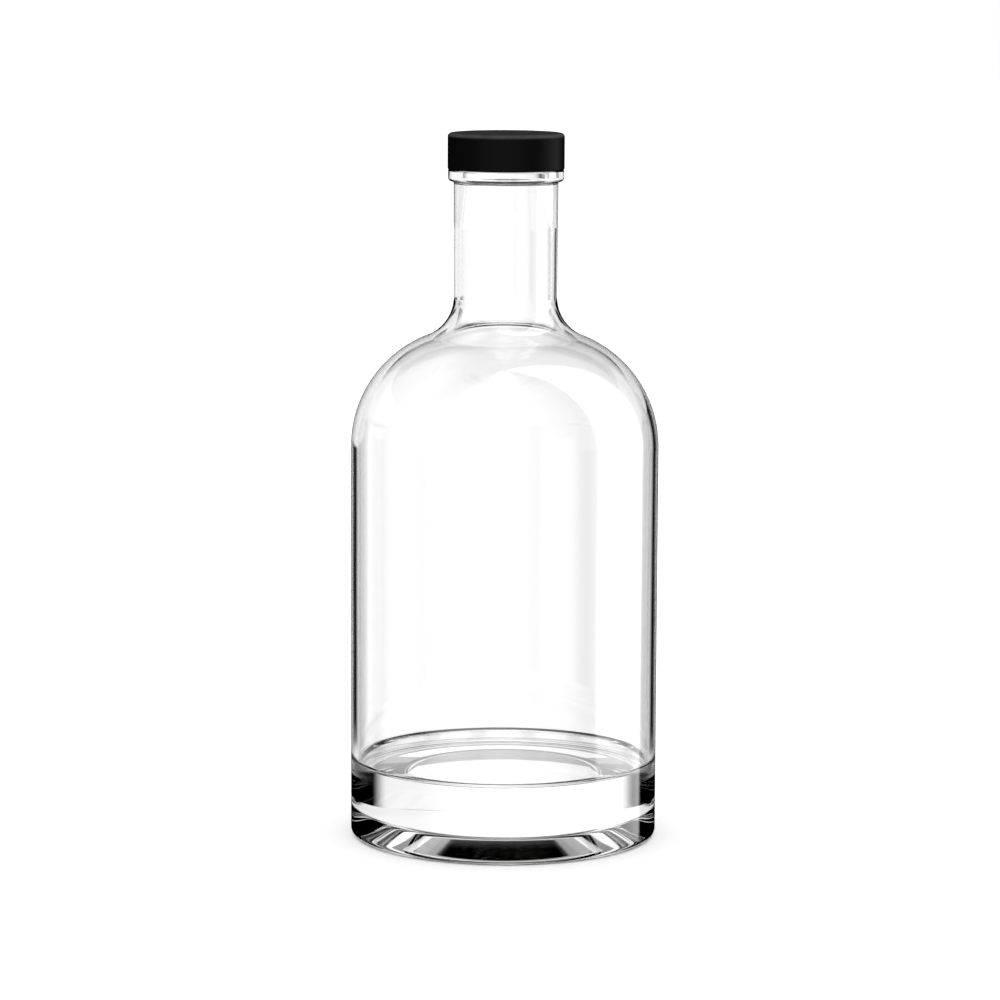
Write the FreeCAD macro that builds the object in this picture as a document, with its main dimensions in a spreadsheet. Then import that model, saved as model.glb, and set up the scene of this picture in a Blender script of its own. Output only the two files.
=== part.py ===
import FreeCAD, Part
import math
import os
import Sketcher

# A clear glass bottle with a screw cap, in millimetres, +Z up.
# The origin is the centre of the standing ring, on the surface that the bottle stands on.

document = FreeCAD.newDocument("ScrewCapBottle")

# ---- driving dimensions ----

dimensions = {
    # bottle, outside
    "bodyDiameter": 94.0,
    "overallHeight": 216.0,
    "heelRadius": 2.2,
    "shoulderRadius": 36.2,
    "shoulderCornerHeight": 145.15,    # where the shoulder's slope, run on outwards, meets the wall
    "shoulderRise": 0.3957,            # that slope: height gained for each mm inwards
    "neckFilletRadius": 12.9,
    "neckDiameterLow": 31.4,
    "neckDiameterHigh": 31.8,
    "beadDiameter": 35.3,
    "beadHeight": 3.6,
    "beadNeckRadius": 0.5,
    "beadUnderRadius": 1.3,
    "beadTopRadius": 0.5,
    # bottle, inside and underneath
    "wallThickness": 2.2,
    "shoulderThickness": 2.3,
    "baseThickness": 23.2,
    "floorCornerRadius": 2.0,
    "neckBoreDiameter": 28.2,
    "neckFlareRadius": 13.5,
    "boreDiameter": 25.4,
    "boreTaperFoot": 187.0,            # the neck's bore draws in from this height
    "boreTaperTop": 203.0,             # to this one
    "boreTaperRadius": 40.0,
    "ringInnerDiameter": 83.0,
    "ringEdgeRadius": 0.8,
    "pushUpDiameter": 58.0,
    "pushUpRadius": 8.0,
    "pushUpDepth": 6.0,
    # threaded finish
    "finishDiameter": 29.6,
    "finishRootRadius": 0.4,
    "lipRadius": 0.8,
    "threadDiameter": 32.0,
    "threadPitch": 4.2333,
    "threadTurns": 1.05,
    "threadFoot": 1.7,                 # bead's top up to the middle of the thread's lower end
    "threadCrestWidth": 1.0,
    "threadRootWidth": 2.6,
    "threadRadius": 0.35,
    "threadSink": 0.4,                 # how far each thread runs into the wall that carries it
    # cap
    "capDiameter": 35.5,
    "capHeight": 11.0,
    "capGap": 0.1,                     # bead's top up to the cap's lower edge
    "shellThickness": 0.45,
    "shellTopRadius": 1.2,
    "shellInnerRadius": 0.75,
    "shellRollDiameter": 33.5,
    "shellRollHeight": 0.35,
    "shellRollRadius": 0.3,
    "insertShellGap": 0.05,
    "insertPanel": 1.0,
    "insertOuterRadius": 0.8,
    "insertBore": 32.6,
    "insertCornerRadius": 0.15,
    "insertThreadBore": 30.2,
    "insertThreadDrop": 1.6,           # middle of the insert's thread below that of the glass thread
    "insertThreadTurns": 0.95,
    "insertThreadCrestWidth": 0.8,
    "insertThreadRootWidth": 1.9,
    "insertThreadRadius": 0.25,
    # liner
    "linerDiameter": 32.2,
    "linerThickness": 1.0,
    "linerFilm": 0.12,
}

sheet = document.addObject("Spreadsheet::Sheet", "Dimensions")
for rowNumber, (alias, value) in enumerate(dimensions.items(), start=1):
    sheet.set("A" + str(rowNumber), alias)
    sheet.set("B" + str(rowNumber), repr(value))
    sheet.setAlias("B" + str(rowNumber), alias)
document.recompute()


# ---- expressions that several pieces share ----

def cell(alias):
    return "Dimensions." + alias


def half(alias):
    return "(Dimensions." + alias + " / 2)"


def joined(*terms):
    return "(" + " ".join(terms) + ")"


bodyRadius = half("bodyDiameter")
innerRadius = joined(bodyRadius, "-", cell("wallThickness"))
boreRadius = half("boreDiameter")
neckBoreRadius = half("neckBoreDiameter")
finishRadius = half("finishDiameter")
insertBoreRadius = half("insertBore")

# heights, from the cap's top down to the bead
shellPanelHeight = joined(cell("overallHeight"), "-", cell("shellThickness"))
insertTopHeight = joined(shellPanelHeight, "-", cell("insertShellGap"))
linerTopHeight = joined(insertTopHeight, "-", cell("insertPanel"))
mouthHeight = joined(linerTopHeight, "-", cell("linerThickness"))
capFootHeight = joined(cell("overallHeight"), "-", cell("capHeight"))
beadTopHeight = joined(capFootHeight, "-", cell("capGap"))
beadFootHeight = joined(beadTopHeight, "-", cell("beadHeight"))
insertFootHeight = joined(capFootHeight, "+", cell("shellRollHeight"), "+", cell("insertShellGap"))

# the shoulder's slope outside, and the same slope one thickness in
slopeDrop = joined(cell("shoulderThickness"), "* sqrt(1 +", cell("shoulderRise") + "^2)")


def slopeHeight(radius, drop="0"):
    run = joined(bodyRadius, "-", radius)
    return joined(cell("shoulderCornerHeight"), "+", run, "*", cell("shoulderRise"), "-", drop)


# ---- sketch and feature helpers ----

def value(expression):
    return float(sheet.evalExpression(expression))


def newBody(label):
    body = document.addObject("PartDesign::Body", label)
    body.Label = label
    return body


def newSketch(body, name):
    # a sketch on the body's own XZ plane: its x is the radius, its y is the height
    sketch = body.newObject("Sketcher::SketchObject", name)
    planes = [item for item in body.Origin.OriginFeatures if item.Role == "XZ_Plane"]
    sketch.AttachmentSupport = (planes[0], [""])
    sketch.MapMode = "FlatFace"
    return sketch


def bind(sketch, constraint, expression):
    index = sketch.addConstraint(constraint)
    sketch.setExpression("Constraints[" + str(index) + "]", expression)


def holdPoint(sketch, geometry, end, corner):
    # fixes a point of the sketch at a corner's radius and height
    radius, height, _ = corner
    origin = -1
    verticalAxis = -2
    originPoint = 1
    if radius == "0":
        sketch.addConstraint(Sketcher.Constraint("PointOnObject", geometry, end, verticalAxis))
    else:
        reach = Sketcher.Constraint("DistanceX", origin, originPoint, geometry, end, value(radius))
        bind(sketch, reach, radius)
    if height == "0":
        sketch.addConstraint(Sketcher.Constraint("PointOnObject", geometry, end, origin))
    else:
        rise = Sketcher.Constraint("DistanceY", origin, originPoint, geometry, end, value(height))
        bind(sketch, rise, height)


def roundedCorner(before, at, after, radius):
    # where an arc of this radius leaves and joins the two runs that meet at a corner
    toBefore = (before - at).normalize()
    toAfter = (after - at).normalize()
    halfAngle = toBefore.getAngle(toAfter) / 2
    setback = radius / math.tan(halfAngle)
    bisector = (toBefore + toAfter).normalize()
    centre = at + bisector * (radius / math.sin(halfAngle))
    middle = centre - bisector * radius
    return at + toBefore * setback, middle, at + toAfter * setback


def drawSection(sketch, corners):
    # A closed outline of straight runs. Each corner is (radius, height, rounding): expressions,
    # with None for a sharp corner. Every rounding is an arc tangent to its two runs.
    points = [FreeCAD.Vector(value(x), value(y), 0) for x, y, _ in corners]
    count = len(corners)
    starts = list(points)
    ends = list(points)
    arcs = {}
    for number, (_, _, rounding) in enumerate(corners):
        if rounding is None:
            continue
        before = points[number - 1]
        after = points[(number + 1) % count]
        arrive, middle, leave = roundedCorner(before, points[number], after, value(rounding))
        ends[number] = arrive
        starts[number] = leave
        arcs[number] = Part.Arc(arrive, middle, leave)
    runs = []
    for number in range(count):
        following = (number + 1) % count
        runs.append(sketch.addGeometry(Part.LineSegment(starts[number], ends[following])))
    startPoint = 1
    endPoint = 2
    for number, corner in enumerate(corners):
        arriving = runs[number - 1]
        leaving = runs[number]
        if number not in arcs:
            sketch.addConstraint(
                Sketcher.Constraint("Coincident", arriving, endPoint, leaving, startPoint))
            holdPoint(sketch, leaving, startPoint, corner)
            continue
        arc = sketch.addGeometry(arcs[number])
        arcPoints = [sketch.getPoint(arc, startPoint), sketch.getPoint(arc, endPoint)]
        arcArrives = startPoint
        arcLeaves = endPoint
        if arcPoints[0].distanceToPoint(ends[number]) > arcPoints[1].distanceToPoint(ends[number]):
            arcArrives = endPoint
            arcLeaves = startPoint
        sketch.addConstraint(Sketcher.Constraint("Tangent", arriving, endPoint, arc, arcArrives))
        sketch.addConstraint(Sketcher.Constraint("Tangent", arc, arcLeaves, leaving, startPoint))
        rounding = corner[2]
        bind(sketch, Sketcher.Constraint("Radius", arc, value(rounding)), rounding)
        mark = sketch.addGeometry(Part.Point(points[number]), True)
        sketch.addConstraint(Sketcher.Constraint("PointOnObject", mark, startPoint, arriving))
        sketch.addConstraint(Sketcher.Constraint("PointOnObject", mark, startPoint, leaving))
        holdPoint(sketch, mark, startPoint, corner)


def revolve(body, sketch, name):
    feature = body.newObject("PartDesign::Revolution", name)
    feature.Profile = (sketch, [""])
    feature.ReferenceAxis = (sketch, ["V_Axis"])
    feature.Angle = 360
    sketch.Visibility = False
    document.recompute()
    return feature


def wind(body, sketch, name, turns):
    # sweeps a thread's section up a right-hand helix about the bottle's axis
    feature = body.newObject("PartDesign::AdditiveHelix", name)
    feature.Profile = (sketch, [""])
    feature.ReferenceAxis = (sketch, ["V_Axis"])
    feature.Mode = "pitch-turns-angle"
    feature.setExpression("Pitch", cell("threadPitch"))
    feature.setExpression("Turns", turns)
    feature.LeftHanded = False
    feature.Reversed = False
    sketch.Visibility = False
    document.recompute()
    return feature


def threadSection(side, root, crest, middle, rootWidth, crestWidth, rounding):
    # a thread's section standing on radius root, with its crest at radius crest
    def corner(radius, sign, width, corneredBy):
        return joined(side, "*", radius), joined(middle, sign, width, "/ 2"), corneredBy
    return [
        corner(root, "-", rootWidth, None),
        corner(crest, "-", crestWidth, rounding),
        corner(crest, "+", crestWidth, rounding),
        corner(root, "+", rootWidth, None),
    ]


# ---- bottle ----

def makeBottle():
    neckLow = half("neckDiameterLow")
    neckHigh = half("neckDiameterHigh")
    bead = half("beadDiameter")
    ring = half("ringInnerDiameter")
    pushUp = half("pushUpDiameter")
    outside = [
        ("0", cell("pushUpDepth"), None),
        (pushUp, cell("pushUpDepth"), cell("pushUpRadius")),
        (ring, "0", cell("ringEdgeRadius")),
        (bodyRadius, "0", cell("heelRadius")),
        (bodyRadius, cell("shoulderCornerHeight"), cell("shoulderRadius")),
        (neckLow, slopeHeight(neckLow), cell("neckFilletRadius")),
        (neckHigh, beadFootHeight, cell("beadNeckRadius")),
        (bead, beadFootHeight, cell("beadUnderRadius")),
        (bead, beadTopHeight, cell("beadTopRadius")),
        (finishRadius, beadTopHeight, cell("finishRootRadius")),
        (finishRadius, mouthHeight, cell("lipRadius")),
    ]
    inside = [
        (boreRadius, mouthHeight, cell("lipRadius")),
        (boreRadius, cell("boreTaperTop"), cell("boreTaperRadius")),
        (neckBoreRadius, cell("boreTaperFoot"), cell("boreTaperRadius")),
        (neckBoreRadius, slopeHeight(neckBoreRadius, slopeDrop), cell("neckFlareRadius")),
        (innerRadius, slopeHeight(innerRadius, slopeDrop),
         joined(cell("shoulderRadius"), "-", cell("wallThickness"))),
        (innerRadius, cell("baseThickness"), cell("floorCornerRadius")),
        ("0", cell("baseThickness"), None),
    ]
    body = newBody("bottle")
    glass = newSketch(body, "GlassSection")
    drawSection(glass, outside + inside)
    revolve(body, glass, "Glass")
    thread = newSketch(body, "GlassThreadSection")
    drawSection(thread, threadSection(
        "1", joined(finishRadius, "-", cell("threadSink")), half("threadDiameter"),
        joined(beadTopHeight, "+", cell("threadFoot")),
        cell("threadRootWidth"), cell("threadCrestWidth"), cell("threadRadius")))
    wind(body, thread, "GlassThread", cell("threadTurns"))
    return body


# ---- cap: a drawn shell rolled in under a moulded insert ----

def makeShell():
    outer = half("capDiameter")
    inner = joined(outer, "-", cell("shellThickness"))
    roll = half("shellRollDiameter")
    rollTop = joined(capFootHeight, "+", cell("shellRollHeight"))
    body = newBody("cap_shell")
    section = newSketch(body, "ShellSection")
    drawSection(section, [
        ("0", cell("overallHeight"), None),
        (outer, cell("overallHeight"), cell("shellTopRadius")),
        (outer, capFootHeight, cell("shellRollRadius")),
        (roll, capFootHeight, None),
        (roll, rollTop, None),
        (inner, rollTop, None),
        (inner, shellPanelHeight, cell("shellInnerRadius")),
        ("0", shellPanelHeight, None),
    ])
    revolve(body, section, "Shell")
    return body


def makeInsert():
    outer = joined(half("capDiameter"), "-", cell("shellThickness"), "-", cell("insertShellGap"))
    body = newBody("cap_insert")
    section = newSketch(body, "InsertSection")
    drawSection(section, [
        ("0", insertTopHeight, None),
        (outer, insertTopHeight, cell("insertOuterRadius")),
        (outer, insertFootHeight, None),
        (insertBoreRadius, insertFootHeight, None),
        (insertBoreRadius, linerTopHeight, cell("insertCornerRadius")),
        ("0", linerTopHeight, None),
    ])
    revolve(body, section, "Insert")
    # its thread starts half a turn round from the foot of the glass thread, and half a lead up
    middle = joined(beadTopHeight, "+", cell("threadFoot"), "+", cell("threadPitch"), "/ 2",
                    "-", cell("insertThreadDrop"))
    thread = newSketch(body, "InsertThreadSection")
    drawSection(thread, threadSection(
        "-1", joined(insertBoreRadius, "+", cell("threadSink")), half("insertThreadBore"), middle,
        cell("insertThreadRootWidth"), cell("insertThreadCrestWidth"), cell("insertThreadRadius")))
    wind(body, thread, "InsertThread", cell("insertThreadTurns"))
    return body


# ---- liner: foam between two solid films ----

def makePly(label, foot, thickness):
    ply = document.addObject("Part::Cylinder", label)
    ply.Label = label
    ply.setExpression("Radius", half("linerDiameter"))
    ply.setExpression("Height", thickness)
    ply.setExpression("Placement.Base.z", foot)
    return ply


def makeLiner():
    film = cell("linerFilm")
    foam = joined(cell("linerThickness"), "- 2 *", film)
    foamFoot = joined(mouthHeight, "+", film)
    topFoot = joined(linerTopHeight, "-", film)
    return [
        makePly("liner_face_film", mouthHeight, film),
        makePly("liner_foam_core", foamFoot, foam),
        makePly("liner_top_film", topFoot, film),
    ]


# ---- build, test and write ----

pieces = [makeBottle(), makeShell(), makeInsert()] + makeLiner()
document.recompute()

for item in document.Objects:
    faults = [state for state in item.State if state in ("Invalid", "Error")]
    if faults:
        raise RuntimeError(item.Name + " is " + ", ".join(faults))

for sketch in document.findObjects("Sketcher::SketchObject"):
    freedom = sketch.solve()
    if freedom != 0 or not sketch.FullyConstrained:
        raise RuntimeError(sketch.Name + " isn't fully held by its constraints")

os.makedirs("parts", exist_ok=True)
for piece in pieces:
    shape = piece.Shape
    if shape.isNull() or not shape.isValid() or len(shape.Solids) != 1:
        raise RuntimeError(piece.Label + " isn't one sound solid")
    shape.exportStep(os.path.join("parts", piece.Label + ".step"))
    box = shape.BoundBox
    print(piece.Label, "volume", round(shape.Volume, 1), "mm3, height", round(box.ZMin, 3),
          "to", round(box.ZMax, 3), "mm, width", round(box.XLength, 3), "mm")
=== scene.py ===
import math
import bpy
from mathutils import Matrix, Vector


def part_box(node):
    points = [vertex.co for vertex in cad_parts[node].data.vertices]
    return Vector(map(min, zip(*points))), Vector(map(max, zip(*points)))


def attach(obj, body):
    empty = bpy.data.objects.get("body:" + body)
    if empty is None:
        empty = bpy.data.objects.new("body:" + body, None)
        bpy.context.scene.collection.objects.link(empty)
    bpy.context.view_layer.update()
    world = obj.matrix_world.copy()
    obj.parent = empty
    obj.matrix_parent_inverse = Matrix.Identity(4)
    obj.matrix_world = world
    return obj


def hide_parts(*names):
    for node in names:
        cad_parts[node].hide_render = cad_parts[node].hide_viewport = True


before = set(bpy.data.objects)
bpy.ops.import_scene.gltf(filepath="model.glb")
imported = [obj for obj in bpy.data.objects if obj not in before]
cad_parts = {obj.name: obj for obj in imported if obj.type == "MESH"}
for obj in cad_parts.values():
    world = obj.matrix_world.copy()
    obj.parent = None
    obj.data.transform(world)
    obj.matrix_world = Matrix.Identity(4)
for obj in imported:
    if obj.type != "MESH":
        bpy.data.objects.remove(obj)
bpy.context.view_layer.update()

mm = 0.001
fullTurn = 2 * math.pi
print("frame loaded:", ", ".join(sorted(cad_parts)))


# node helpers, for materials, geometry and the light alike

def feed(tree, socket, source):
    if isinstance(source, bpy.types.NodeSocket):
        tree.links.new(source, socket)
    else:
        socket.default_value = source


def addNode(tree, kind, inputs=None, **settings):
    node = tree.nodes.new(kind)
    for key, setting in settings.items():
        setattr(node, key, setting)
    for key, source in (inputs or {}).items():
        feed(tree, node.inputs[key], source)
    return node


def calc(tree, operation, *terms):
    node = addNode(tree, "ShaderNodeMath", operation=operation)
    for socket, term in zip(node.inputs, terms):
        feed(tree, socket, term)
    return node.outputs[0]


def ramp(tree, source, low, high, atLow=0.0, atHigh=1.0, kind="SMOOTHSTEP"):
    # atLow below low, atHigh above high, and an eased step between them
    node = addNode(tree, "ShaderNodeMapRange", interpolation_type=kind)
    for key, number in (("Value", source), ("From Min", low), ("From Max", high),
                        ("To Min", atLow), ("To Max", atHigh)):
        feed(tree, node.inputs[key], number)
    return node.outputs["Result"]


def band(tree, source, low, high, ease):
    # 1 between low and high, 0 outside, eased at both ends
    return calc(tree, "MULTIPLY", ramp(tree, source, low - ease, low + ease),
                ramp(tree, source, high - ease, high + ease, 1.0, 0.0))


# materials

def newMaterial(name, color, roughness, **others):
    material = bpy.data.materials.new(name)
    material.use_nodes = True
    tree = material.node_tree
    shader = tree.nodes["Principled BSDF"]
    settings = {"Base Color": (*color, 1), "Roughness": roughness, **others}
    for key, setting in settings.items():
        shader.inputs[key].default_value = setting
    place = addNode(tree, "ShaderNodeTexCoord").outputs["Object"]
    return material, tree, shader, place


noiseSpan = (0.3, 0.7)                # where nearly all of a noise node's values lie


def noise(tree, place, scale, detail=3.0):
    return addNode(tree, "ShaderNodeTexNoise",
                   {"Vector": place, "Scale": scale, "Detail": detail}).outputs["Fac"]


def bump(tree, shader, height, distance):
    node = addNode(tree, "ShaderNodeBump",
                   {"Height": height, "Distance": distance, "Strength": 1.0})
    tree.links.new(node.outputs["Normal"], shader.inputs["Normal"])


def mixColor(tree, amount, low, high):
    # each color is three numbers or another node's output
    node = addNode(tree, "ShaderNodeMix", data_type="RGBA")
    feed(tree, node.inputs["Factor"], amount)
    sockets = [socket for socket in node.inputs if socket.type == "RGBA"]
    for socket, color in zip(sockets, (low, high)):
        feed(tree, socket, color if isinstance(color, bpy.types.NodeSocket) else (*color, 1))
    return [socket for socket in node.outputs if socket.type == "RGBA"][0]


glassFinish = {
    "ior": 1.52,
    "stippleTop": 0.45 * mm,          # the standing ring is dulled up to this height
    "stippleFade": 0.3,               # and in full up to this share of it
    "stippleRoughness": 0.3,
    "stippleScale": 1500.0,
    "stippleDepth": 0.04 * mm,
}


def flintGlass():
    f = glassFinish
    material, tree, shader, place = newMaterial(
        "flintGlass", (1.0, 1.0, 1.0), 0.0, **{"Transmission Weight": 1.0, "IOR": f["ior"]})
    height = addNode(tree, "ShaderNodeSeparateXYZ", {"Vector": place}).outputs["Z"]
    full = f["stippleFade"] * f["stippleTop"]
    worn = ramp(tree, height, full, f["stippleTop"], 1.0, 0.0)
    feed(tree, shader.inputs["Roughness"], calc(tree, "MULTIPLY", worn, f["stippleRoughness"]))
    grain = noise(tree, place, f["stippleScale"])
    bump(tree, shader, calc(tree, "MULTIPLY", grain, worn), f["stippleDepth"])
    return material


lacquerFinish = {
    "black": (0.0018, 0.0018, 0.0019),
    "paintedEdgeHighlight": (0.042, 0.042, 0.043),      # painted highlight: the top edge made lighter, standing in for its reflection of the light above
    # painted reflection: the top face's lighter colour stands in for its reflection of the backdrop
    "panel": (0.026, 0.026, 0.027),
    "roughness": (0.34, 0.42),
    "gloss": 0.02,
    "grainScale": 2400.0,
    "grainDepth": 0.004 * mm,
    "patchScale": 260.0,
    "patchLeast": 0.75,               # the painted sheen's strength varies between this and 1
    "edgeBelowTop": (1.35 * mm, 0.5 * mm),
    "panelInset": (2.2 * mm, 1.0 * mm),
}


def blackLacquer(top, radius):
    f = lacquerFinish
    material, tree, shader, place = newMaterial(
        "blackLacquer", f["black"], f["roughness"][0], **{"Specular IOR Level": f["gloss"]})
    axes = addNode(tree, "ShaderNodeSeparateXYZ", {"Vector": place}).outputs
    reach = calc(tree, "SQRT", calc(tree, "ADD", calc(tree, "MULTIPLY", axes["X"], axes["X"]),
                                    calc(tree, "MULTIPLY", axes["Y"], axes["Y"])))
    # painted sheen: a lighter base colour over the top face and top edge stands in for their
    # reflection of the light
    low, high = f["edgeBelowTop"]
    patchy = ramp(tree, noise(tree, place, f["patchScale"]), *noiseSpan, f["patchLeast"], 1.0)
    paintedSheenMask = calc(tree, "MULTIPLY", ramp(tree, axes["Z"], top - low, top - high), patchy)
    wide, narrow = f["panelInset"]
    panel = ramp(tree, reach, radius - wide, radius - narrow, 1.0, 0.0)
    paintedSheenColor = mixColor(tree, panel, f["paintedEdgeHighlight"], f["panel"])
    feed(tree, shader.inputs["Base Color"], mixColor(tree, paintedSheenMask, f["black"], paintedSheenColor))
    grain = noise(tree, place, f["grainScale"], 4.0)
    feed(tree, shader.inputs["Roughness"], ramp(tree, grain, *noiseSpan, *f["roughness"]))
    bump(tree, shader, grain, f["grainDepth"])
    return material


plasticFinish = {
    "insertPlastic": {
        "low": (0.011, 0.011, 0.012), "high": (0.017, 0.017, 0.018),
        "roughness": (0.5, 0.66), "scale": 900.0, "depth": 0.012 * mm,
    },
    "linerFilm": {
        "low": (0.76, 0.76, 0.75), "high": (0.84, 0.84, 0.83),
        "roughness": (0.24, 0.34), "scale": 420.0, "depth": 0.006 * mm,
    },
}
cloudSize = 12                        # clouds of color are this many times the grain's size


def moulded(name):
    f = plasticFinish[name]
    material, tree, shader, place = newMaterial(name, f["low"], f["roughness"][0])
    grain = noise(tree, place, f["scale"], 4.0)
    cloud = ramp(tree, noise(tree, place, f["scale"] / cloudSize), *noiseSpan)
    feed(tree, shader.inputs["Base Color"], mixColor(tree, cloud, f["low"], f["high"]))
    feed(tree, shader.inputs["Roughness"], ramp(tree, grain, *noiseSpan, *f["roughness"]))
    bump(tree, shader, grain, f["depth"])
    return material


foamFinish = {
    "wall": (0.86, 0.86, 0.84),
    # painted shade: the colour given to the pits at the cells' middles
    "cell": (0.62, 0.62, 0.6),
    "roughness": 0.8,
    "cellScale": 2600.0,              # cells about 0.4 mm across
    "cellSpan": (0.15, 0.55),
    "cellDepth": 0.05 * mm,
}


def closedCellFoam():
    f = foamFinish
    material, tree, shader, place = newMaterial("linerFoam", f["wall"], f["roughness"])
    cells = addNode(tree, "ShaderNodeTexVoronoi",
                    {"Vector": place, "Scale": f["cellScale"]}).outputs["Distance"]
    # painted shade: the pits that the bump sinks at the cells' middles are coloured darker
    paintedPitShade = ramp(tree, cells, *f["cellSpan"], 1.0, 0.0)
    feed(tree, shader.inputs["Base Color"], mixColor(tree, paintedPitShade, f["wall"], f["cell"]))
    bump(tree, shader, cells, f["cellDepth"])
    return material


# sections of the turned pieces: corners are (radius, height, rounding, inside)

def roundedOutline(corners, arcStep, denseRadius=None, denseStep=0.25 * mm):
    # arcs become short steps, and each straight run gets a close row near its ends, so that
    # smooth shading stays true right up to where a run meets an arc
    endGap = 0.25 * mm
    longStep = 8 * mm
    coarsest = 7                      # degrees in one step of an arc
    near = 0.001 * mm
    count = len(corners)
    arcs = []
    for number, (radius, height, rounding, inside) in enumerate(corners):
        at = Vector((radius, height))
        if not rounding:
            arcs.append([at])
            continue
        toBefore = (Vector(corners[number - 1][:2]) - at).normalized()
        toAfter = (Vector(corners[(number + 1) % count][:2]) - at).normalized()
        half = toBefore.angle(toAfter) / 2
        centre = at + (toBefore + toAfter).normalized() * (rounding / math.sin(half))
        arrive = at + toBefore * (rounding / math.tan(half)) - centre
        leave = at + toAfter * (rounding / math.tan(half)) - centre
        turn = -arrive.angle_signed(leave)
        steps = max(int(abs(math.degrees(turn)) / coarsest) + 1,
                    int(abs(turn) * rounding / arcStep))
        arcs.append([centre + Matrix.Rotation(turn * step / steps, 2) @ arrive
                     for step in range(steps + 1)])
    points = []
    for number, arc in enumerate(arcs):
        inside = corners[number][3]
        points += [(point.x, inside, point.y) for point in arc]
        if number + 1 == count:
            break
        start, end = arc[-1], arcs[number + 1][0]
        run = (end - start).length
        if run < 4 * endGap:
            continue
        along = (end - start) / run
        dense = denseRadius is not None and all(
            abs(point.x - denseRadius) < near for point in (start, end))
        rows = int(run / (denseStep if dense else longStep))
        stops = [endGap] + [run * row / rows for row in range(1, rows)] + [run - endGap]
        inside = min(inside, corners[number + 1][3])
        for stop in stops:
            point = start + along * stop
            points.append((point.x, inside, point.y))
    return points


# the lathe: one geometry tree turns any section, cuts its thread and roughens its foot

latheSizes = {
    "rootWithin": 0.02 * mm,          # a point this near the thread's root radius may be lifted
    "threadFade": 0.02,               # turns over which the thread runs out at each end
    "ringDepth": 0.05 * mm,           # points lower than this are on the standing ring
    "calmRadius": 8 * mm,             # the wave dies away inside this radius
    "uprightWave": 0.3,
    "weld": 0.001 * mm,
}


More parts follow.
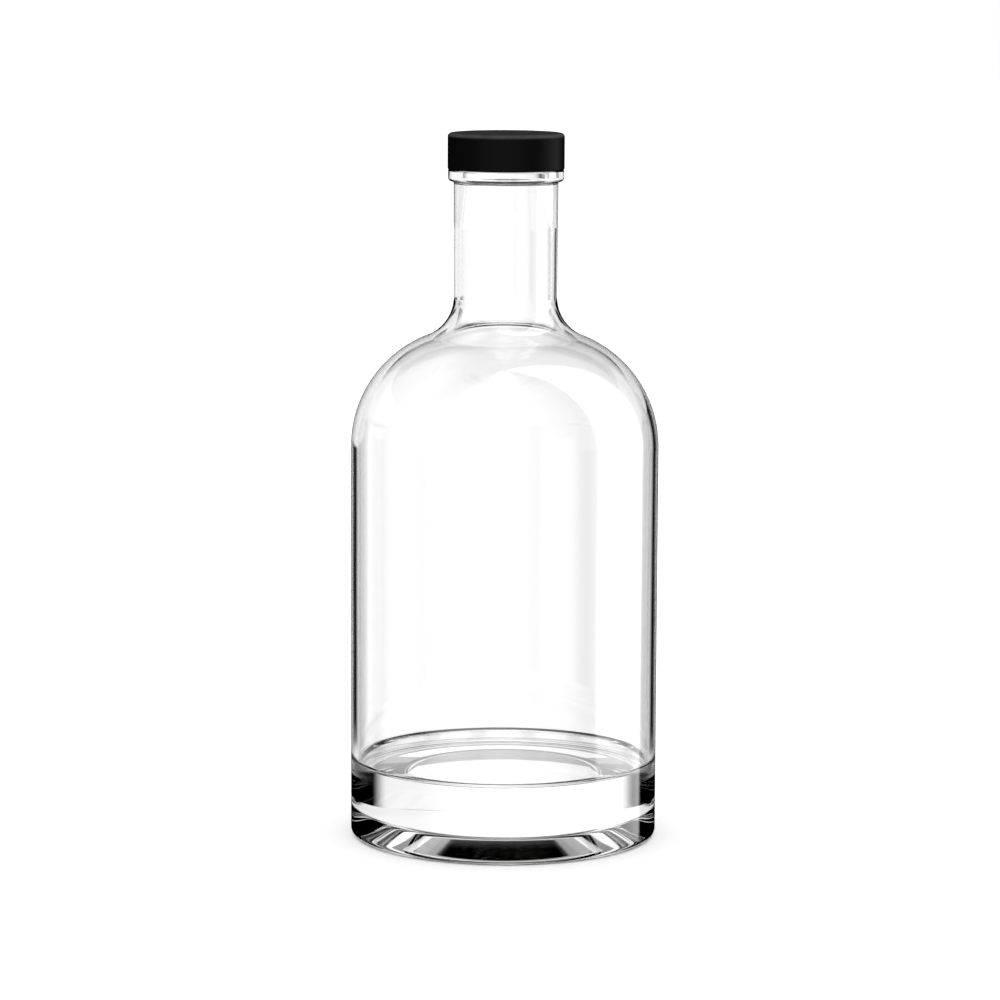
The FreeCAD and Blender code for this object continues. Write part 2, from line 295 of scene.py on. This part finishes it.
def latheTree():
    fixed = latheSizes
    tree = bpy.data.node_groups.new("lathe", "GeometryNodeTree")
    face = tree.interface
    sockets = [
        ("Section", "NodeSocketObject"), ("Around", "NodeSocketInt"),
        ("Thread Root", "NodeSocketFloat"), ("Thread Height", "NodeSocketFloat"),
        ("Thread Foot", "NodeSocketFloat"), ("Thread Pitch", "NodeSocketFloat"),
        ("Thread Turns", "NodeSocketFloat"), ("Thread Start", "NodeSocketFloat"),
        ("Thread Root Width", "NodeSocketFloat"), ("Thread Crest Width", "NodeSocketFloat"),
        ("Knurl Count", "NodeSocketInt"), ("Knurl Depth", "NodeSocketFloat"),
        ("Knurl Inner", "NodeSocketFloat"), ("Knurl Outer", "NodeSocketFloat"),
        ("Wave Depth", "NodeSocketFloat"), ("Wave Scale", "NodeSocketFloat"),
        ("Seed", "NodeSocketFloat"), ("Material", "NodeSocketMaterial"),
    ]
    for name, kind in sockets:
        face.new_socket(name=name, in_out="INPUT", socket_type=kind)
    face.new_socket(name="Geometry", in_out="OUTPUT", socket_type="NodeSocketGeometry")
    given = addNode(tree, "NodeGroupInput").outputs

    def do(operation, *terms):
        return calc(tree, operation, *terms)

    section = addNode(tree, "GeometryNodeObjectInfo",
                      {"Object": given["Section"]}).outputs["Geometry"]
    rows = addNode(tree, "GeometryNodeAttributeDomainSize",
                   {"Geometry": section}).outputs["Point Count"]
    grid = addNode(tree, "GeometryNodeMeshGrid", {
        "Vertices X": do("ADD", given["Around"], 1), "Vertices Y": rows}).outputs["Mesh"]
    index = addNode(tree, "GeometryNodeInputIndex").outputs["Index"]
    row = do("MODULO", index, rows)
    share = do("DIVIDE", do("FLOOR", do("DIVIDE", do("ADD", index, 0.5), rows)), given["Around"])
    where = addNode(tree, "GeometryNodeInputPosition").outputs["Position"]
    sample = addNode(tree, "GeometryNodeSampleIndex",
                     data_type="FLOAT_VECTOR", domain="POINT")
    values = [socket for socket in sample.inputs if socket.name == "Value" and socket.enabled]
    tree.links.new(section, sample.inputs["Geometry"])
    tree.links.new(where, values[0])
    tree.links.new(row, sample.inputs["Index"])
    sampled = [socket for socket in sample.outputs if socket.enabled][0]
    parts = addNode(tree, "ShaderNodeSeparateXYZ", {"Vector": sampled}).outputs
    radius, inside, height = parts["X"], parts["Y"], parts["Z"]

    # the thread: how near this point is to the helix, on its first and second time round
    offRoot = do("ABSOLUTE", do("SUBTRACT", radius, given["Thread Root"]))
    onRoot = do("LESS_THAN", offRoot, fixed["rootWithin"])
    halfRoot = do("DIVIDE", given["Thread Root Width"], 2)
    slope = do("DIVIDE", do("SUBTRACT", given["Thread Root Width"], given["Thread Crest Width"]), 2)
    relief = None
    for lap in (0, 1):
        travel = do("ADD", do("FRACT", do("SUBTRACT", share, given["Thread Start"])), lap)
        middle = do("ADD", given["Thread Foot"], do("MULTIPLY", given["Thread Pitch"], travel))
        away = do("ABSOLUTE", do("SUBTRACT", height, middle))
        flank = do("DIVIDE", do("SUBTRACT", halfRoot, away), slope)
        flank = do("MINIMUM", do("MAXIMUM", flank, 0), 1)
        left = do("MINIMUM", travel, do("SUBTRACT", given["Thread Turns"], travel))
        fade = do("MINIMUM", do("MAXIMUM", do("DIVIDE", left, fixed["threadFade"]), 0), 1)
        part = do("MULTIPLY", flank, fade)
        relief = part if relief is None else do("MAXIMUM", relief, part)
    relief = do("MULTIPLY", relief, onRoot)
    radius = do("ADD", radius, do("MULTIPLY", relief, given["Thread Height"]))

    # knurling pressed into the standing ring
    under = do("LESS_THAN", height, fixed["ringDepth"])
    between = do("MULTIPLY", do("GREATER_THAN", radius, given["Knurl Inner"]),
                 do("LESS_THAN", radius, given["Knurl Outer"]))
    beat = do("COSINE", do("MULTIPLY", do("MULTIPLY", share, given["Knurl Count"]), fullTurn))
    lift = do("MULTIPLY", do("MULTIPLY", do("ADD", beat, 1), 0.5), given["Knurl Depth"])
    height = do("ADD", height, do("MULTIPLY", lift, do("MULTIPLY", under, between)))

    # the inner face is never quite true: a slow wave, on its walls and floor
    angle = do("MULTIPLY", do("FRACT", share), fullTurn)
    cosine, sine = do("COSINE", angle), do("SINE", angle)

    def onLathe():
        return addNode(tree, "ShaderNodeCombineXYZ", {
            "X": do("MULTIPLY", radius, cosine), "Y": do("MULTIPLY", radius, sine),
            "Z": height}).outputs["Vector"]

    swell = addNode(tree, "ShaderNodeTexNoise", {
        "Vector": onLathe(), "W": given["Seed"], "Scale": given["Wave Scale"],
        "Detail": 1.0}, noise_dimensions="4D").outputs["Fac"]
    wave = do("MULTIPLY", do("MULTIPLY", do("SUBTRACT", swell, 0.5), inside), given["Wave Depth"])
    offAxis = do("MINIMUM", do("DIVIDE", radius, fixed["calmRadius"]), 1)
    radius = do("ADD", radius, do("MULTIPLY", wave, offAxis))
    height = do("ADD", height, do("MULTIPLY", wave, fixed["uprightWave"]))

    shaped = addNode(tree, "GeometryNodeSetPosition", {"Geometry": grid, "Position": onLathe()})
    closed = addNode(tree, "GeometryNodeMergeByDistance",
                     {"Geometry": shaped.outputs["Geometry"], "Distance": fixed["weld"]})
    smooth = addNode(tree, "GeometryNodeSetShadeSmooth", {"Geometry": closed.outputs["Geometry"]})
    real = addNode(tree, "GeometryNodeRealizeInstances", {"Geometry": smooth.outputs["Geometry"]})
    painted = addNode(tree, "GeometryNodeSetMaterial", {
        "Geometry": real.outputs["Geometry"], "Material": given["Material"]})
    addNode(tree, "NodeGroupOutput", {"Geometry": painted.outputs["Geometry"]})
    return tree


lathe = latheTree()


def turned(name, points, body, replaced, settings):
    # runs the lathe on a section, keeps the plain mesh, and hands it to its body
    outline = bpy.data.meshes.new(name + "Section")
    outline.from_pydata(points, [(end - 1, end) for end in range(1, len(points))], [])
    section = bpy.data.objects.new(name + "Section", outline)
    piece = bpy.data.objects.new(name, bpy.data.meshes.new(name))
    for thing in (section, piece):
        bpy.context.scene.collection.objects.link(thing)
    modifier = piece.modifiers.new("lathe", "NODES")
    modifier.node_group = lathe
    sockets = {item.name: item.identifier for item in lathe.interface.items_tree
               if item.in_out == "INPUT"}
    modifier[sockets["Section"]] = section
    for key, setting in settings.items():
        modifier[sockets[key]] = setting
    evaluated = piece.evaluated_get(bpy.context.evaluated_depsgraph_get())
    mesh = bpy.data.meshes.new_from_object(evaluated)
    piece.modifiers.clear()
    piece.data = mesh
    bpy.data.objects.remove(section)
    outwards(mesh)
    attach(piece, body)
    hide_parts(replaced)
    print(name, "turned:", len(mesh.vertices), "points,", len(mesh.polygons), "faces")


def outwards(mesh):
    # a closed mesh whose signed volume is negative is inside out
    total = 0.0
    for face in mesh.polygons:
        corners = [mesh.vertices[number].co for number in face.vertices]
        for second, third in zip(corners[1:], corners[2:]):
            total += corners[0].dot(second.cross(third))
    if total < 0:
        mesh.flip_normals()


def topOf(node):
    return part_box(node)[1][2]


def footOf(node):
    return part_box(node)[0][2]


def radiusOf(node):
    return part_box(node)[1][0]


# glass bottle

glassSizes = {
    "wall": 2.2 * mm,
    "shoulderWall": 2.3 * mm,
    "base": 23.2 * mm,
    "floorCorner": 2.0 * mm,
    "heel": 2.2 * mm,
    "shoulder": 36.2 * mm,
    "shoulderCorner": 145.15 * mm,    # where the shoulder's slope, run on outwards, meets the wall
    "rise": 0.3957,                   # that slope, height over width
    "neckFillet": 12.9 * mm,
    "neckLow": 15.7 * mm,
    "neckHigh": 15.9 * mm,
    "neckBore": 14.1 * mm,
    "neckFlare": 13.5 * mm,
    "taperFoot": 187.0 * mm,
    "taperTop": 203.0 * mm,
    "taperRound": 40.0 * mm,
    "bore": 12.7 * mm,
    "bead": 17.65 * mm,
    "beadFoot": 201.3 * mm,
    "beadTop": 204.9 * mm,
    "beadNeckRound": 0.5 * mm,
    "beadUnderRound": 1.3 * mm,
    "beadTopRound": 0.5 * mm,
    "finish": 14.8 * mm,
    "finishRoot": 0.4 * mm,
    "lip": 0.8 * mm,
    "ringInner": 41.5 * mm,
    "ringEdge": 0.8 * mm,
    "pushUp": 29.0 * mm,
    "pushUpRound": 8.0 * mm,
    "pushUpDepth": 6.0 * mm,
    "arcStep": 0.6 * mm,
    "around": 192,
    "knurls": 96,
    "knurlDepth": 0.1 * mm,
    "knurlInset": (0.3 * mm, 0.1 * mm),   # from the ring's inner edge and from the heel
    "waveDepth": 0.05 * mm,
    "waveScale": 38.0,
    "waveSeed": 7.0,
    "threadHeight": 1.2 * mm,
    "threadAboveBead": 1.7 * mm,
    "threadPitch": 4.2333 * mm,
    "threadTurns": 1.05,
    "threadRootWidth": 2.2 * mm,
    "threadCrestWidth": 1.0 * mm,
}


def glassCorners(s, body, mouth):
    drop = s["shoulderWall"] * math.sqrt(1 + s["rise"] ** 2)
    inner = body - s["wall"]

    def slope(radius, below=0.0):
        return s["shoulderCorner"] + (body - radius) * s["rise"] - below

    return [
        (0.0, s["pushUpDepth"], 0, 0),
        (s["pushUp"], s["pushUpDepth"], s["pushUpRound"], 0),
        (s["ringInner"], 0.0, s["ringEdge"], 0),
        (body, 0.0, s["heel"], 0),
        (body, s["shoulderCorner"], s["shoulder"], 0),
        (s["neckLow"], slope(s["neckLow"]), s["neckFillet"], 0),
        (s["neckHigh"], s["beadFoot"], s["beadNeckRound"], 0),
        (s["bead"], s["beadFoot"], s["beadUnderRound"], 0),
        (s["bead"], s["beadTop"], s["beadTopRound"], 0),
        (s["finish"], s["beadTop"], s["finishRoot"], 0),
        (s["finish"], mouth, s["lip"], 0),
        (s["bore"], mouth, s["lip"], 0),
        (s["bore"], s["taperTop"], s["taperRound"], 0),
        (s["neckBore"], s["taperFoot"], s["taperRound"], 1),
        (s["neckBore"], slope(s["neckBore"], drop), s["neckFlare"], 1),
        (inner, slope(inner, drop), s["shoulder"] - s["wall"], 1),
        (inner, s["base"], s["floorCorner"], 1),
        (0.0, s["base"], 0, 1),
    ]


glass = glassSizes
ringIn, ringOut = glass["knurlInset"]
outline = roundedOutline(glassCorners(glass, radiusOf("bottle"), topOf("bottle")),
                         glass["arcStep"], denseRadius=glass["finish"])
turned("glass_bottle", outline, "bottle", "bottle", {
    "Around": glass["around"], "Material": flintGlass(),
    "Thread Root": glass["finish"], "Thread Height": glass["threadHeight"],
    "Thread Foot": glass["beadTop"] + glass["threadAboveBead"],
    "Thread Pitch": glass["threadPitch"],
    "Thread Turns": glass["threadTurns"], "Thread Start": 0.0,
    "Thread Root Width": glass["threadRootWidth"],
    "Thread Crest Width": glass["threadCrestWidth"],
    "Knurl Count": glass["knurls"], "Knurl Depth": glass["knurlDepth"],
    "Knurl Inner": glass["ringInner"] + ringIn,
    "Knurl Outer": radiusOf("bottle") - glass["heel"] - ringOut,
    "Wave Depth": glass["waveDepth"], "Wave Scale": glass["waveScale"],
    "Seed": glass["waveSeed"],
})


# cap: a drawn shell rolled in under a moulded insert

plainTurning = {
    "Thread Root": -1.0, "Thread Height": 0.0, "Thread Foot": 0.0, "Thread Pitch": 1.0,
    "Thread Turns": 0.0, "Thread Start": 0.0, "Thread Root Width": 1.0, "Thread Crest Width": 0.0,
    "Knurl Count": 0, "Knurl Depth": 0.0, "Knurl Inner": 0.0, "Knurl Outer": 0.0,
    "Wave Depth": 0.0, "Wave Scale": 1.0, "Seed": 0.0,
}

shellSizes = {
    "thickness": 0.45 * mm,
    "topRound": 1.2 * mm,
    "innerRound": 0.75 * mm,
    "rollReach": 1.0 * mm,            # how far the lower edge is rolled in
    "rollHeight": 0.35 * mm,
    "rollRound": 0.3 * mm,
    "rollTip": 0.12 * mm,
    "arcStep": 0.12 * mm,
    "around": 240,
}


def shellCorners(s, outer, top, foot):
    inner = outer - s["thickness"]
    roll = outer - s["rollReach"]
    ceiling = top - s["thickness"]
    return [
        (0.0, top, 0, 0),
        (outer, top, s["topRound"], 0),
        (outer, foot, s["rollRound"], 0),
        (roll, foot, s["rollTip"], 0),
        (roll, foot + s["rollHeight"], s["rollTip"], 0),
        (inner, foot + s["rollHeight"], 0, 0),
        (inner, ceiling, s["innerRound"], 0),
        (0.0, ceiling, 0, 0),
    ]


shell = shellSizes
outline = roundedOutline(
    shellCorners(shell, radiusOf("cap_shell"), topOf("cap_shell"), footOf("cap_shell")),
    shell["arcStep"])
lacquer = blackLacquer(topOf("cap_shell"), radiusOf("cap_shell"))
turned("cap_cover", outline, "cap", "cap_shell",
       {**plainTurning, "Around": shell["around"], "Material": lacquer})

insertSizes = {
    "outerRound": 0.8 * mm,
    "bore": 16.3 * mm,
    "cornerRound": 0.15 * mm,
    "footRound": 0.15 * mm,
    "threadReach": 1.2 * mm,
    "threadFoot": 207.117 * mm,
    "threadPitch": 4.2333 * mm,
    "threadTurns": 0.95,
    "threadRootWidth": 1.62 * mm,
    "threadCrestWidth": 0.8 * mm,
    "arcStep": 0.15 * mm,
    "around": 192,
}


def insertCorners(s, outer, top, foot, ceiling):
    return [
        (0.0, top, 0, 0),
        (outer, top, s["outerRound"], 0),
        (outer, foot, s["footRound"], 0),
        (s["bore"], foot, s["footRound"], 0),
        (s["bore"], ceiling, s["cornerRound"], 0),
        (0.0, ceiling, 0, 0),
    ]


insert = insertSizes
outline = roundedOutline(
    insertCorners(insert, radiusOf("cap_insert"), topOf("cap_insert"), footOf("cap_insert"),
                  topOf("liner_top_film")), insert["arcStep"], denseRadius=insert["bore"])
turned("cap_thread_insert", outline, "cap", "cap_insert", {
    **plainTurning, "Around": insert["around"], "Material": moulded("insertPlastic"),
    "Thread Root": insert["bore"], "Thread Height": -insert["threadReach"],
    "Thread Foot": insert["threadFoot"], "Thread Pitch": insert["threadPitch"],
    "Thread Turns": insert["threadTurns"], "Thread Start": 0.5,
    "Thread Root Width": insert["threadRootWidth"],
    "Thread Crest Width": insert["threadCrestWidth"],
})

# liner: its three plies keep their own solids, and take a foam's and a film's finish
film = moulded("linerFilm")
for node, finish in (("liner_top_film", film), ("liner_foam_core", closedCellFoam()),
                     ("liner_face_film", film)):
    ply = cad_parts[node].data
    ply.materials.clear()
    ply.materials.append(finish)
print("liner finished")


# floor, camera and light

floorSizes = {
    "half": 6.0,
    "color": (0.9, 0.9, 0.9),
    "roughness": 0.8,
}


def layFloor():
    f = floorSizes
    half = f["half"]
    mesh = bpy.data.meshes.new("floor")
    mesh.from_pydata([(-half, -half, 0), (half, -half, 0), (half, half, 0), (-half, half, 0)],
                     [], [(0, 1, 2, 3)])
    floor = bpy.data.objects.new("floor", mesh)
    bpy.context.scene.collection.objects.link(floor)
    mesh.materials.append(
        newMaterial("paleFloor", f["color"], f["roughness"], **{"Specular IOR Level": 0.0})[0])
    floor.visible_transmission = False    # the glass looks through to the lit backdrop
    floor.visible_glossy = False


cameraPlace = {
    "distance": 1.2259,
    "height": 0.2784,
    "down": 8.107,                    # degrees
    "roll": 0.28,
    "lens": 145.5,                    # millimetres, as is the sensor
    "sensor": 36,
    "shift": -0.0045,
    "clip": (0.05, 50),
}


def placeCamera():
    c = cameraPlace
    data = bpy.data.cameras.new("camera")
    data.lens = c["lens"]
    data.sensor_width = c["sensor"]
    data.clip_start, data.clip_end = c["clip"]
    data.shift_x = c["shift"]
    camera = bpy.data.objects.new("camera", data)
    bpy.context.scene.collection.objects.link(camera)
    camera.location = (0, -c["distance"], c["height"])
    tilt = Matrix.Rotation(math.radians(90 - c["down"]), 3, "X")
    camera.rotation_euler = (tilt @ Matrix.Rotation(math.radians(c["roll"]), 3, "Z")).to_euler()
    bpy.context.scene.camera = camera


lightPlan = {
    # in degrees: bearing 0 is the camera's side and 180 is behind, and rise is above the level
    # a pair is where a light fades in or out; a third number softens both ends of a range
    "windowPitch": 45.0,              # lit panels stand all round, with dark gaps between them
    "windowSoft": (10.0, 20.0),
    "windowRise": (-11.85, 17.0, 0.15),
    "baseCard": (131.0, 142.0),       # the wide card that fills the solid base
    "baseCardRise": (-13.5, -11.6, 0.15),
    "baseCardMirror": (3.0, 14.5, 0.5),
    "sideCards": (60.0, 150.0, 5.0),
    "sideCardsRise": (3.0, 25.0, 0.5),
    "back": (144.0, 150.0),           # the panel behind runs on downwards
    "backRise": (-17.0, -11.7, 0.5),
    "groundTop": (-14.2, -13.4),      # the pale ground goes on below the panels
    "groundGap": 0.7,                 # and is a little darker under the gaps between them
    "frontGround": (50.0, 58.0),
    "frontGroundRise": (-16.0, -11.0, 0.5),
    "shade": (147.0, 152.0),          # left dark low behind, for the lines under neck and base
    "shadeRise": (-50.0, -30.0, 1.5),
    "leftFill": (-174.0, -143.0, 2.0),
    "leftFillRise": (-6.2, 4.0, 0.6),
    "backHead": (150.0, 156.0),       # and, dimmer, upwards
    "backHeadRise": (17.0, 29.0, 1.0),
    "backHeadLevel": 0.3,
    "keyLeft": (-70.0, -28.0),        # the big front light dies away to both sides
    "keyRight": (2.0, 72.0),
    "leftLift": (-179.1, -177.2),     # what is behind on the left is brighter to make up for it
    "leftLiftEnd": (-150.0, -145.0),
    "leftLiftLevel": 1.17,
    "stripBearing": (74.0, 125.0, 3.0),
    "softboxRise": (-12.9, 100.0, 0.15),
    "softbox": 3.7,
    "backdrop": 1.0,
    "fill": 1.5,
}


def lightStudio():
    p = lightPlan
    world = bpy.data.worlds.new("studio")
    bpy.context.scene.world = world
    world.use_nodes = True
    tree = world.node_tree
    tree.nodes.clear()

    def do(operation, *terms):
        return calc(tree, operation, *terms)

    way = addNode(tree, "ShaderNodeTexCoord").outputs["Generated"]
    axes = addNode(tree, "ShaderNodeSeparateXYZ", {"Vector": way}).outputs
    toDegrees = math.degrees(1)
    bearing = do("MULTIPLY", do("ARCTAN2", axes["X"], do("MULTIPLY", axes["Y"], -1)), toDegrees)
    rise = do("MULTIPLY", do("ARCSINE", axes["Z"]), toDegrees)
    either = do("ABSOLUTE", bearing)

    fold = do("PINGPONG", bearing, p["windowPitch"] / 2)
    pane = ramp(tree, fold, *p["windowSoft"], 1.0, 0.0)
    through = do("MULTIPLY", pane, band(tree, rise, *p["windowRise"]))
    shade = do("MULTIPLY", ramp(tree, either, *p["shade"]),
               band(tree, rise, *p["shadeRise"]))
    ground = do("MULTIPLY", ramp(tree, rise, *p["groundTop"], 1.0, 0.0),
                do("SUBTRACT", ramp(tree, pane, 0.0, 1.0, p["groundGap"], 1.0), shade))
    baseCard = ramp(tree, either, *p["baseCard"])
    for card in (
        do("MULTIPLY", baseCard, band(tree, rise, *p["baseCardRise"])),
        do("MULTIPLY", baseCard, band(tree, rise, *p["baseCardMirror"])),
        do("MULTIPLY", band(tree, either, *p["sideCards"]), band(tree, rise, *p["sideCardsRise"])),
        do("MULTIPLY", ramp(tree, either, *p["back"]), band(tree, rise, *p["backRise"])),
        ground,
        do("MULTIPLY", ramp(tree, either, *p["frontGround"], 1.0, 0.0),
           band(tree, rise, *p["frontGroundRise"])),
        do("MULTIPLY", band(tree, bearing, *p["leftFill"]), band(tree, rise, *p["leftFillRise"])),
        do("MULTIPLY", ramp(tree, either, *p["backHead"], 0.0, p["backHeadLevel"]),
           band(tree, rise, *p["backHeadRise"])),
    ):
        through = do("MAXIMUM", through, card)

    leftward = do("MULTIPLY", ramp(tree, bearing, *p["leftLift"]),
                  ramp(tree, bearing, *p["leftLiftEnd"], 1.0, 0.0))
    lift = ramp(tree, leftward, 0.0, 1.0, 1.0, p["leftLiftLevel"], "LINEAR")
    through = do("MULTIPLY", through, lift)

    key = do("MULTIPLY", ramp(tree, bearing, *p["keyLeft"]),
             ramp(tree, bearing, *p["keyRight"], 1.0, 0.0))
    softboxes = do("ADD", key, band(tree, bearing, *p["stripBearing"]))
    softboxes = do("MULTIPLY", softboxes, band(tree, rise, *p["softboxRise"]))
    mirrored = do("MULTIPLY", softboxes, p["softbox"])

    # a ray through the glass meets the panels, a reflected one the softboxes, others plain white
    ray = addNode(tree, "ShaderNodeLightPath").outputs
    passing = ray["Is Transmission Ray"]
    glancing = do("MULTIPLY", ray["Is Glossy Ray"], do("SUBTRACT", 1, passing))
    other = do("SUBTRACT", do("SUBTRACT", 1, passing), glancing)
    seen = ray["Is Camera Ray"]
    plain = do("ADD", do("MULTIPLY", seen, p["backdrop"]),
               do("MULTIPLY", do("SUBTRACT", 1, seen), p["fill"]))
    strength = do("ADD", do("MULTIPLY", passing, through),
                  do("ADD", do("MULTIPLY", glancing, mirrored), do("MULTIPLY", other, plain)))
    sky = addNode(tree, "ShaderNodeBackground", {"Strength": strength, "Color": (1, 1, 1, 1)})
    addNode(tree, "ShaderNodeOutputWorld", {"Surface": sky.outputs["Background"]})


layFloor()
placeCamera()
lightStudio()
bpy.context.scene.view_settings.view_transform = "Standard"
print("floor, camera and light in place")
